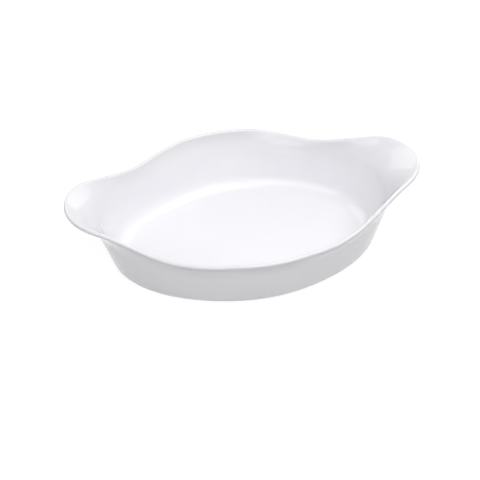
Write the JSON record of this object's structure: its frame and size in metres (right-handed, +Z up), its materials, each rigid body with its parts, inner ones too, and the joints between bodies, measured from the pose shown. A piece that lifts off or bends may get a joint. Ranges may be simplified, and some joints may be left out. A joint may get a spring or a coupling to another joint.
{
  "type": "gratin dish",
  "caption": "Oval white gratin dish pressed in one piece of opal glass: flat base, leaning wall, and a flared ear that rises at each end of the dipping rim.",
  "frame": {"origin": "middle of the dish's underside, on the table; it is also the bottom centre of the dish's box", "axes": "+X along the dish from ear to ear, +Y across it, +Z up out of its mouth"},
  "size_m": [0.32, 0.2, 0.0695],
  "materials": {
    "opal_glass": "glossy, fire polished"
  },
  "bodies": {
    "root": {"dish": "opal_glass"}
  },
  "joints": []
}
